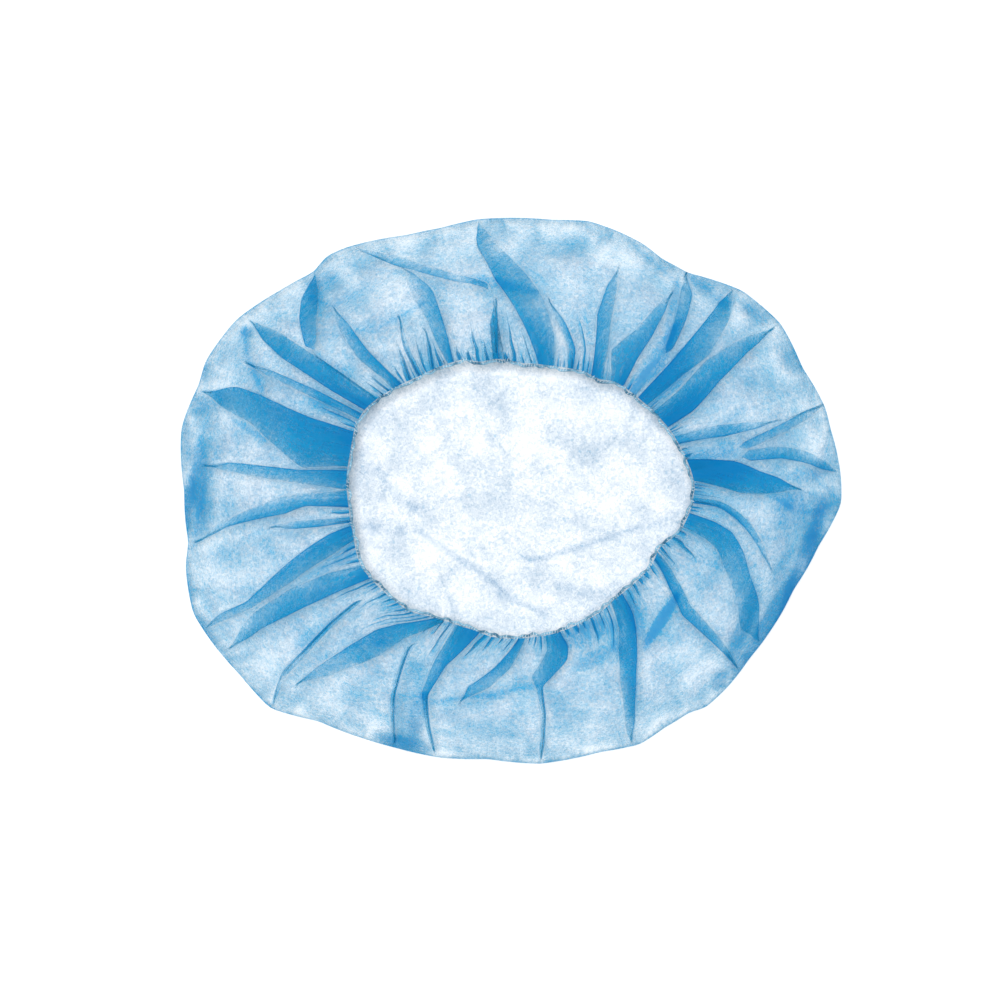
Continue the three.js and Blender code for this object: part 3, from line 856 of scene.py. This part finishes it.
@dataclass
class CapCloth:
    """The cap's one sheet of cloth: a flat crown, a soft outer fold and a pleated skirt. Reaches
    are shares of the way from the opening to the outline, and thickness is counted in layers;
    besides real layers, the thickness carries painted shade beside the pleats and painted
    highlights between them."""

    form: CapForm
    finish: NonwovenFinish
    name: str = "nonwoven_cap"
    seed: int = 11
    layer_step: float = 1.0 * MM
    margin: float = 1.4 * MM
    least_gap_degrees: float = 0.2
    open_from: float = 0.93
    piled: tuple[float, float] = (0.3, 0.5)
    piled_root: tuple[float, float] = (0.1, 0.7)
    tip_fading: float = 0.65
    rim_piling: float = 0.15
    # A darker line along each pleat's top crease: partly the doubled cloth, partly painted shade.
    pleat_crease: float = 0.5
    plain_pitch: float = 14 * MM
    gather_pitch: float = 4.4 * MM
    shortest_gather: float = 0.07
    gather_spread: float = 0.4
    gather_rise: float = 0.8
    gather_crease: float = 0.4
    gather_wiggle: float = 0.08
    gather_waves: tuple[float, float] = (20.0, 30.0)
    ripple_pitch: float = 5.2 * MM
    ripple_rise: float = 0.6 * MM
    ripple_reach: float = 0.16
    # Painted shade: a thin darker line along the outline, where the turning cloth is seen edge-on; its
    # strength and width.
    outline_shade_line: float = 0.8
    outline_reach: float = 1 / 90
    # Painted shade: a soft darker fringe added to the thickness on both sides of each pleat, and how many
    # columns it spreads over.
    painted_pleat_shade: float = 0.4
    painted_shade_columns: int = 7
    rim_gathers: float = 0.6
    rim_reach: float = 0.07
    underside_thinning: float = 0.4
    # Streaks near the rim, their strength and reach: the darker ones piled gathers, the lighter ones
    # painted highlights on the gathers' crests.
    puckers_and_highlights: tuple[tuple[float, float], ...] = ((0.7, 0.06), (0.3, 0.3))
    folded_puckers: float = 0.35
    pucker_length: float = 7.5 * MM
    shaded_rings: tuple[int, int] = (1, 8)
    layer_shift: tuple[float, float] = (11 * MM, 17 * MM)
    crown_crease: float = 0.7
    crown_columns: int = 230
    opening_rows: int = 44
    hidden_rows: int = 5
    opening_share: float = 0.6
    crown_share: float = 0.97

    def rings(self) -> tuple[np.ndarray, np.ndarray]:
        """List the rings of the skirt, from the floor round the fold to the opening.

        Returns:
            The reach and the rise of each ring.
        """
        keys = (
            (0, 0.8, 0.0), (2, 0.88, 0.015), (4, 0.94, 0.06), (6, 0.98, 0.13), (9, 1.0, 0.24),
            (11, 0.985, 0.35), (14, 0.94, 0.46), (19, 0.86, 0.6), (27, 0.72, 0.82),
            (36, 0.56, 0.96), (45, 0.4, 1.0), (54, 0.24, 0.95), (61, 0.12, 0.85), (66, 0.05, 0.77),
            (70, 0.0, 0.72),
        )
        marks, reaches, rises = zip(*keys)
        place = np.arange(marks[-1] + 1)
        return smooth_curve(place, marks, reaches), smooth_curve(place, marks, rises)

    def scale(self, turn: np.ndarray, reach: np.ndarray) -> np.ndarray:
        """Find the metres round the cap for each degree.

        Args:
            turn: Directions in degrees.
            reach: Shares of the way from the opening to the outline.

        Returns:
            The metres for each degree there.
        """
        before = self.form.plan(turn - 0.5, reach)
        after = self.form.plan(turn + 0.5, reach)
        return np.linalg.norm(after - before, axis=-1)

    def columns(self, along: np.ndarray) -> dict[str, np.ndarray]:
        """Work out every point round the skirt, for every ring.

        Args:
            along: The reach of each ring, or 1 for a ring on the underside.

        Returns:
            Arrays of ring by column: turn in degrees, level, crease and thickness.
        """
        sections = [self._section(one, along) for one in PLEATS]
        wraps = [0.0] * (len(sections) - 1) + [FULL_TURN]
        pairs = list(zip(sections, sections[1:] + sections[:1], wraps))
        for section, following, wrap in pairs:
            gap = following["turn"][:, 0] + wrap - section["turn"][:, -1]
            squeeze = np.maximum(self.least_gap_degrees - gap, 0) / 2
            section["turn"][:, -1] -= squeeze
            following["turn"][:, 0] += squeeze
        parts: dict[str, list[np.ndarray]] = {key: [] for key in sections[0]}
        chance = random.Random(self.seed)
        for section, following, wrap in pairs:
            start = section["turn"][:, -1]
            gap = following["turn"][:, 0] + wrap - start
            gathers = self._gathers(start, gap, along, chance)
            for key, values in parts.items():
                values += [section[key], gathers[key]]
        return {key: np.concatenate(values, axis=1) for key, values in parts.items()}

    def _gathers(
        self, start: np.ndarray, gap: np.ndarray, along: np.ndarray, chance: random.Random,
    ) -> dict[str, np.ndarray]:
        """Fill the cloth between two pleats with small gathers that start at the rim.

        Args:
            start: The direction of the first pleat's end, for every ring.
            gap: The degrees from there to the next pleat, for every ring.
            along: The reach of each ring.
            chance: The source of each gather's length, strength and side.

        Returns:
            The same arrays as for a pleat, of ring by column.
        """
        wide = gap * self.scale(start + gap / 2, along)
        least = round(float(wide.max()) / self.plain_pitch)
        count = max(round(float(wide[-1]) / self.gather_pitch), least, 1)
        plain, folded, level, thick = (
            np.array([getattr(point, name) for point in GATHER_SECTION])
            for name in ("plain", "folded", "level", "thick")
        )
        fields: dict[str, list[np.ndarray]] = {"turn": [], "level": [], "crease": [], "thick": []}
        for index in range(count):
            length = self.shortest_gather + self.gather_spread * chance.random() ** 3
            strength = 0.5 + 0.5 * chance.random()
            full = strength * (1 - ramp(along, 0.25 * length, length))[:, None]
            pace = self.gather_waves[0] + self.gather_waves[1] * chance.random()
            waves = np.sin(along * pace + 6 * chance.random())[:, None]
            wiggle = self.gather_wiggle * waves * full
            turned = chance.random() < 0.5
            ends = (1 - plain[::-1], 1 - folded[::-1]) if turned else (plain, folded)
            order = slice(None, None, -1) if turned else slice(None)
            place = ends[0] * (1 - full) + (ends[1] + wiggle) * full
            fields["turn"].append(start[:, None] + gap[:, None] * (index + place) / count)
            fields["level"].append(level[order] * full * self.gather_rise)
            fields["crease"].append(thick[order] * full * self.gather_crease)
            fields["thick"].append(thick[order] * full)
        return {key: np.concatenate(values, axis=1) for key, values in fields.items()}

    def _section(self, one: Pleat, reach: np.ndarray) -> dict[str, np.ndarray]:
        """Work out the points across one pleat, for every ring.

        Args:
            one: The pleat.
            reach: The reach of each ring.

        Returns:
            Arrays of ring by point: turn in degrees, level, crease and thickness.
        """
        middle = one.direction(reach)
        half = one.half_width(reach)
        fullness = one.fullness(reach) * (1 - ramp(reach, self.open_from, 1.0))
        scale = self.scale(middle, reach)
        plain, edge, margin, turn, level, crease, thick = (
            np.array([getattr(point, name) for point in PLEAT_SECTION])
            for name in ("plain", "edge", "margin", "turn", "level", "crease", "thick")
        )
        folded = edge * (half * scale)[:, None] + margin * self.margin + turn * self.layer_step
        across = plain * self.margin * (1 - fullness)[:, None] + folded * fullness[:, None]
        side = one.lean.value
        inside = (np.abs(plain) < 0.75) * (0.75 + 0.25 * edge)
        root = 1 - ramp(reach, *self.piled_root)
        piled = one.deep * (self.piled[0] + self.piled[1] * root)[:, None] * inside
        fading = self.tip_fading * ramp(reach, 0.45 * one.tip, one.tip) * (1 - 0.6 * one.deep)
        near_rim = (self.rim_piling * (1 - ramp(reach, 0.0, 0.3)) - fading)[:, None] * inside
        present = (fullness * ramp(half, 0.0, 0.5))[:, None]
        data = {
            "turn": middle[:, None] + side * across / scale[:, None],
            "level": level * fullness[:, None],
            "crease": crease * present * self.pleat_crease,
            "thick": (thick + piled + near_rim) * present,
        }
        return data if side > 0 else {key: values[:, ::-1].copy() for key, values in data.items()}

    def build(self) -> bpy.types.Object:
        """Model and dress the sheet.

        Returns:
            The cloth's object.
        """
        reach, rise = self.rings()
        outermost = int(np.argmax(reach))
        under = (np.arange(len(reach)) < outermost)[:, None]
        layout = self.columns(np.where(under[:, 0], 1.0, reach))
        # Two pleats that nearly meet at the outline would cross in the unfolded rings below it, so
        # the points of those rings are put in order.
        unfolded = (np.arange(len(reach)) <= outermost)[:, None]
        turn = np.where(unfolded, np.sort(layout["turn"], axis=1), layout["turn"])
        count = turn.shape[1]
        wide_reach = np.repeat(reach[:, None], count, axis=1)
        plan = self.form.plan(turn, wide_reach)
        rim_arc = self._arc(plan[-1])
        ripple = np.sin(rim_arc[:-1] * 2 * np.pi / self.ripple_pitch)
        ripple = ripple * (1 - ramp(wide_reach, 0.0, self.ripple_reach))
        lift = np.where(under, 0.0, layout["level"] * self.layer_step + ripple * self.ripple_rise)
        height = self.form.height(turn, rise[:, None]) + lift
        points = np.concatenate((plan, height[..., None]), axis=-1)
        # Painted shade: a thin darker line along the outline, where the turning cloth is seen edge-on.
        outline = np.exp(-(((1 - wide_reach) / self.outline_reach) ** 2)) * self.outline_shade_line
        pressed = self._creased(plan, SKIRT_CREASES) * ~under
        crease = np.maximum(np.maximum(layout["crease"], outline), pressed)
        folded = np.maximum(layout["thick"], 0)
        # The softened pleat thickness adds painted shade beside each pleat.
        thick = layout["thick"] + self.painted_pleat_shade * self._softened(folded) + self._patched(plan, SKIRT_PATCHES)
        thick += self.rim_gathers * np.exp(-((wide_reach / self.rim_reach) ** 2))
        thick -= self.underside_thinning * under
        # Strength of the streaks near the rim, the lighter of which are painted highlights.
        edge = sum(strong * np.exp(-wide_reach / far) for strong, far in self.puckers_and_highlights)
        edge = edge + self.folded_puckers * folded
        # The underside rings pass from the crown's painted-light dressing to the skirt's.
        shade = np.where(under, ramp(np.arange(len(reach)), *self.shaded_rings)[:, None], 1.0)
        skirt, column, row = grid_object(self.name, count, len(reach) - 1)
        level = np.where(under, 0.0, layout["level"])
        unrolled = np.where(under, height, 2 * height[outermost] - height)
        out = plan / np.linalg.norm(plan, axis=-1)[..., None]
        shift = level[..., None] * np.array(self.layer_shift) + out * unrolled[..., None]
        turned = np.stack((rim_arc[column], reach[row] * self.pucker_length), axis=-1)
        column = column % count
        fields = {
            "crease": crease[row, column],
            "thick": thick[row, column],
            "edge": (edge * ~under)[row, column],
            "skirt": np.repeat(shade, count, axis=1)[row, column],
        }
        maps = {"cloth": (plan + shift)[row, column], "gathers": turned}
        self._fill(skirt, points[row, column], fields, maps)
        return self._join(skirt, self._crown(turn[0], reach[0]))

    def _softened(self, values: np.ndarray) -> np.ndarray:
        """Spread values over their neighbours round the cap.

        Args:
            values: An array of ring by column.

        Returns:
            The softened array.
        """
        wide = self.painted_shade_columns
        rolled = (np.roll(values, step, axis=1) * (wide - abs(step)) for step in range(1 - wide, wide))
        return sum(rolled) / wide**2

    @staticmethod
    def _arc(line: np.ndarray) -> np.ndarray:
        """Measure the way along a closed line, up to its start again."""
        steps = np.linalg.norm(np.roll(line, -1, axis=0) - line, axis=1)
        return np.concatenate(([0.0], np.cumsum(steps)))

    @staticmethod
    def _creased(plan: np.ndarray, creases: Sequence[Crease]) -> np.ndarray:
        """Find how dark creases make each point.

        Args:
            plan: Plan positions, with the last axis of size 2.
            creases: The creases.

        Returns:
            How dark each point is, from 0 to 1.
        """
        dark = np.zeros(plan.shape[:-1])
        for one in creases:
            corners = np.array(one.corners) * MM
            for start, end in zip(corners[:-1], corners[1:]):
                way = end - start
                share = np.clip(((plan - start) @ way) / (way @ way), 0, 1)
                gap = np.linalg.norm(plan - (start + share[..., None] * way), axis=-1)
                dark = np.maximum(dark, one.dark * np.exp(-((gap / (one.wide * MM)) ** 2)))
        return dark

    @staticmethod
    def _patched(plan: np.ndarray, patches: Sequence[Patch]) -> np.ndarray:
        """Find how much the darker and lighter places, painted highlights among them, change the thickness
        at each point.

        Args:
            plan: Plan positions, with the last axis of size 2.
            patches: The places.

        Returns:
            The change at each point, in layers of cloth.
        """
        total = np.zeros(plan.shape[:-1])
        for one in patches:
            angle = math.radians(one.turned)
            x, y = np.moveaxis(plan / MM - one.middle, -1, 0)
            along = (x * math.cos(angle) + y * math.sin(angle)) / (one.size[0] / 2)
            across = (y * math.cos(angle) - x * math.sin(angle)) / (one.size[1] / 2)
            total += one.thick * (1 - ramp(np.hypot(along, across), one.edge - one.soft, one.edge))
        return total

    def _crown(self, outer_turn: np.ndarray, outer_reach: float) -> bpy.types.Object:
        """Model the flat crown that lies on the floor.

        Args:
            outer_turn: The directions of the skirt's lowest ring, rising.
            outer_reach: The reach of that ring.

        Returns:
            The crown's object, still to be joined.
        """
        rows = self.opening_rows + self.hidden_rows
        crown, column, row = grid_object(self.name + "_crown", self.crown_columns, rows)
        skirt_turns = np.append(outer_turn, outer_turn[0] + FULL_TURN)
        place = (column % self.crown_columns) * len(outer_turn) / self.crown_columns
        turn = np.interp(place, np.arange(len(skirt_turns)), skirt_turns)
        edge = self.form.plan(turn, np.full(turn.shape, outer_reach))
        share = np.interp(row, (0, self.opening_rows, rows), (0, self.opening_share, self.crown_share))
        plan = edge * share[:, None]
        points = np.concatenate((plan, np.full((len(turn), 1), self.form.floor_gap)), axis=1)
        empty = np.zeros(len(turn))
        fields = {
            "crease": self._creased(plan, CROWN_CREASES) * self.crown_crease,
            "thick": self._patched(plan, CROWN_PATCHES),
            "edge": empty,
            "skirt": empty,
        }
        self._fill(crown, points, fields, {"cloth": plan, "gathers": plan})
        return crown

    @staticmethod
    def _fill(
        piece: bpy.types.Object,
        points: np.ndarray,
        fields: dict[str, np.ndarray],
        maps: dict[str, np.ndarray],
    ) -> None:
        """Write a grid's points, attributes and flat patterns.

        Args:
            piece: The grid's object.
            points: The place of each vertex.
            fields: The values of each attribute, by its name.
            maps: The flat place of each vertex in each UV map, by its name.
        """
        mesh = piece.data
        mesh.vertices.foreach_set("co", points.astype(np.float32).ravel())
        for name, values in fields.items():
            layer = mesh.attributes.new(name, "FLOAT", "POINT")
            layer.data.foreach_set("value", values.astype(np.float32))
        corners = np.empty(len(mesh.loops), dtype=np.int32)
        mesh.loops.foreach_get("vertex_index", corners)
        for name, values in maps.items():
            pattern = mesh.uv_layers.new(name=name)
            pattern.data.foreach_set("uv", values[corners].astype(np.float32).ravel())

    def _join(self, skirt: bpy.types.Object, crown: bpy.types.Object) -> bpy.types.Object:
        """Join the crown to the skirt and close their seams.

        Args:
            skirt: The skirt's object, which takes the crown in.
            crown: The crown's object, which is removed.

        Returns:
            The skirt's object.
        """
        work = bmesh.new()
        work.from_mesh(crown.data)
        bmesh.ops.remove_doubles(work, verts=work.verts, dist=SAME_PLACE)
        known = set(work.verts)
        work.from_mesh(skirt.data)
        fresh = [vertex for vertex in work.verts if vertex not in known]
        bmesh.ops.remove_doubles(work, verts=fresh, dist=SAME_PLACE)
        low = self.form.floor_gap + 10 * SAME_PLACE
        low_edges = [edge for edge in work.edges
                     if edge.is_boundary and all(vertex.co.z < low for vertex in edge.verts)]
        bmesh.ops.bridge_loops(work, edges=low_edges)
        bmesh.ops.recalc_face_normals(work, faces=work.faces)
        for face in work.faces:
            face.smooth = True
        work.to_mesh(skirt.data)
        work.free()
        bpy.data.objects.remove(crown)
        skirt.data.materials.append(self.finish.material())
        LOG.info("%s: %d faces", skirt.name, len(skirt.data.polygons))
        return skirt


@dataclass
class ElasticEdge:
    """The opening's edge: a round elastic cord with an overlock thread wound over it."""

    form: CapForm
    cord_finish: ThreadFinish
    thread_finish: ThreadFinish
    rim_rise: float = 0.72
    waviness: float = 0.3 * MM
    cord_radius: float = 0.65 * MM
    thread_radius: float = 0.16 * MM
    wrap_radius: float = 0.8 * MM
    stitch_pitch: float = 1.7 * MM
    steps_per_stitch: int = 8
    cord_steps: int = 360
    outward_share: float = 0.35
    wave_counts: tuple[int, ...] = (23, 41, 67, 89)
    roll_counts: tuple[int, ...] = (19, 37, 59, 83)

    def _tube(self, name: str, points: np.ndarray, radius: float, sides: int) -> bpy.types.Object:
        """Make a closed tube along points and turn it into a mesh.

        Args:
            name: The piece's name.
            points: The places along its middle line.
            radius: The tube's radius in metres.
            sides: The bevel resolution, 0 for a tube of four sides.

        Returns:
            The tube's object.
        """
        curve = bpy.data.curves.new(name, "CURVE")
        curve.dimensions = "3D"
        curve.bevel_depth = radius
        curve.bevel_resolution = sides
        spline = curve.splines.new("POLY")
        spline.points.add(len(points) - 1)
        weighted = np.concatenate((points, np.ones((len(points), 1))), axis=1)
        spline.points.foreach_set("co", weighted.ravel())
        spline.use_cyclic_u = True
        source = bpy.data.objects.new(name + "_path", curve)
        mesh = bpy.data.meshes.new_from_object(source)
        bpy.data.objects.remove(source)
        mesh.name = name
        piece = bpy.data.objects.new(name, mesh)
        bpy.context.scene.collection.objects.link(piece)
        for polygon in mesh.polygons:
            polygon.use_smooth = True
        return piece

    def _line(
        self, turn: np.ndarray, outwards: np.ndarray | float = 0.0, upwards: np.ndarray | float = 0.0,
    ) -> np.ndarray:
        """Find points beside the middle line of the elastic.

        Args:
            turn: Directions in degrees.
            outwards: How far outside the line the points lie, in metres.
            upwards: How far above the line they lie, in metres.

        Returns:
            An array of x, y and z, a row for each direction.
        """
        angle = np.radians(turn)
        waves = sum(np.sin(angle * many + many * many) for many in self.wave_counts) * self.waviness
        rolls = sum(np.cos(angle * many + many) for many in self.roll_counts) * self.waviness
        plan = self.form.opening_point(turn, outwards + waves)
        height = self.form.height(turn, np.full(turn.shape, self.rim_rise)) + upwards + rolls
        return np.concatenate((plan, height[:, None]), axis=1)

    def build(self) -> list[bpy.types.Object]:
        """Model and dress the elastic and its thread.

        Returns:
            The cord and the thread.
        """
        line = self._line(np.linspace(0, FULL_TURN, self.cord_steps, endpoint=False))
        cord = self._tube("elastic_cord", line, self.cord_radius, 2)
        cord.data.materials.append(self.cord_finish.material())
        length = float(np.linalg.norm(np.roll(line, -1, axis=0) - line, axis=1).sum())
        stitches = round(length / self.stitch_pitch)
        count = stitches * self.steps_per_stitch
        angle = np.arange(count) * 2 * np.pi / self.steps_per_stitch
        turn = np.linspace(0, FULL_TURN, count, endpoint=False)
        outwards = self.wrap_radius * (self.outward_share + np.cos(angle))
        wrap = self._line(turn, outwards, self.wrap_radius * np.sin(angle))
        thread = self._tube("overlock_thread", wrap, self.thread_radius, 0)
        thread.data.materials.append(self.thread_finish.material())
        LOG.info("%s and %s: %d stitches", cord.name, thread.name, stitches)
        return [cord, thread]


@dataclass
class Studio:
    """The plain pale floor, the soft light and the camera straight above."""

    photo_scale: float = 0.515 * MM
    photo_side: float = 1000.0
    photo_middle: tuple[float, float] = (511.0, 491.5)
    lens_mm: float = 150.0
    sensor_mm: float = 36.0
    outline_height: float = 8 * MM
    world_light: float = 0.55
    lamp_strength: float = 2.3
    lamp_degrees: float = 14.0
    lamp_aim: tuple[float, float, float] = (0.05, -0.05, -1.0)
    floor_half: float = 3.0
    grain_mm: float = 2.5

    def build(self) -> None:
        """Set the floor, light and camera."""
        self._floor()
        self._light()
        self._camera()

    def _floor(self) -> None:
        """Lay a white paper floor under the cap."""
        mesh = bpy.data.meshes.new("paper_floor")
        work = bmesh.new()
        bmesh.ops.create_grid(work, x_segments=2, y_segments=2, size=self.floor_half)
        work.to_mesh(mesh)
        work.free()
        floor = bpy.data.objects.new("paper_floor", mesh)
        bpy.context.scene.collection.objects.link(floor)
        material = bpy.data.materials.new("white_paper")
        material.use_nodes = True
        tree = material.node_tree
        tree.nodes.clear()
        place = add_node(tree, "ShaderNodeTexCoord").outputs["Object"]
        grain = add_node(
            tree, "ShaderNodeTexNoise", None, Vector=place, Scale=1 / (self.grain_mm * MM), Detail=2.0,
        ).outputs[0]
        colour = add_node(
            tree, "ShaderNodeMix", {"data_type": "RGBA"}, in0=grain,
            in6=linear_colour("#f6f7f8"), in7=linear_colour("#fafafa"),
        ).outputs[2]
        shader = add_node(tree, "ShaderNodeBsdfDiffuse", None, Color=colour)
        add_node(tree, "ShaderNodeOutputMaterial", None, Surface=shader.outputs[0])
        mesh.materials.append(material)

    def _light(self) -> None:
        """Light the scene evenly from all round, with a wide soft light straight above."""
        world = bpy.data.worlds.new("studio")
        bpy.context.scene.world = world
        world.use_nodes = True
        background = world.node_tree.nodes["Background"]
        background.inputs["Color"].default_value = linear_colour("#ffffff")
        background.inputs["Strength"].default_value = self.world_light
        lamp = bpy.data.lights.new("overhead_light", "SUN")
        lamp.energy = self.lamp_strength
        lamp.angle = math.radians(self.lamp_degrees)
        body = bpy.data.objects.new("overhead_light", lamp)
        aim = Vector(self.lamp_aim)
        body.location = -2 * aim
        body.rotation_euler = aim.to_track_quat("-Z", "Y").to_euler()
        bpy.context.scene.collection.objects.link(body)

    def _camera(self) -> None:
        """Look straight down at the middle of the photograph's frame."""
        frame_side = self.photo_side * self.photo_scale
        camera = bpy.data.cameras.new("camera")
        camera.lens = self.lens_mm
        camera.sensor_width = self.sensor_mm
        distance = self.lens_mm / self.sensor_mm * frame_side
        camera.clip_end = 20.0
        body = bpy.data.objects.new("camera", camera)
        x = (self.photo_side / 2 - self.photo_middle[0]) * self.photo_scale
        y = (self.photo_middle[1] - self.photo_side / 2) * self.photo_scale
        body.location = (x, y, distance + self.outline_height)
        bpy.context.scene.collection.objects.link(body)
        scene = bpy.context.scene
        scene.camera = body
        scene.view_settings.view_transform = "Standard"
        scene.cycles.transparent_max_bounces = 24
        scene.cycles.max_bounces = 4
        scene.cycles.diffuse_bounces = 2


def main() -> None:
    """Build and dress the cap and its surroundings."""
    logging.basicConfig(level=logging.INFO, format="%(message)s")
    form = CapForm()
    Studio().build()
    cloth = CapCloth(form, NonwovenFinish()).build()
    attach(cloth, "root")
    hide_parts("cap_cloth")
    cord_finish = ThreadFinish("covered_elastic", "#175f80", "#7fb2cc", 6.0)
    thread_finish = ThreadFinish("overlock_thread", "#4d88a5", "#dfebf2", 3.0)
    cord, thread = ElasticEdge(form, cord_finish, thread_finish).build()
    for piece in (cord, thread):
        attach(piece, "root")
    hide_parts("elastic_edge")


if __name__ == "__main__":
    main()
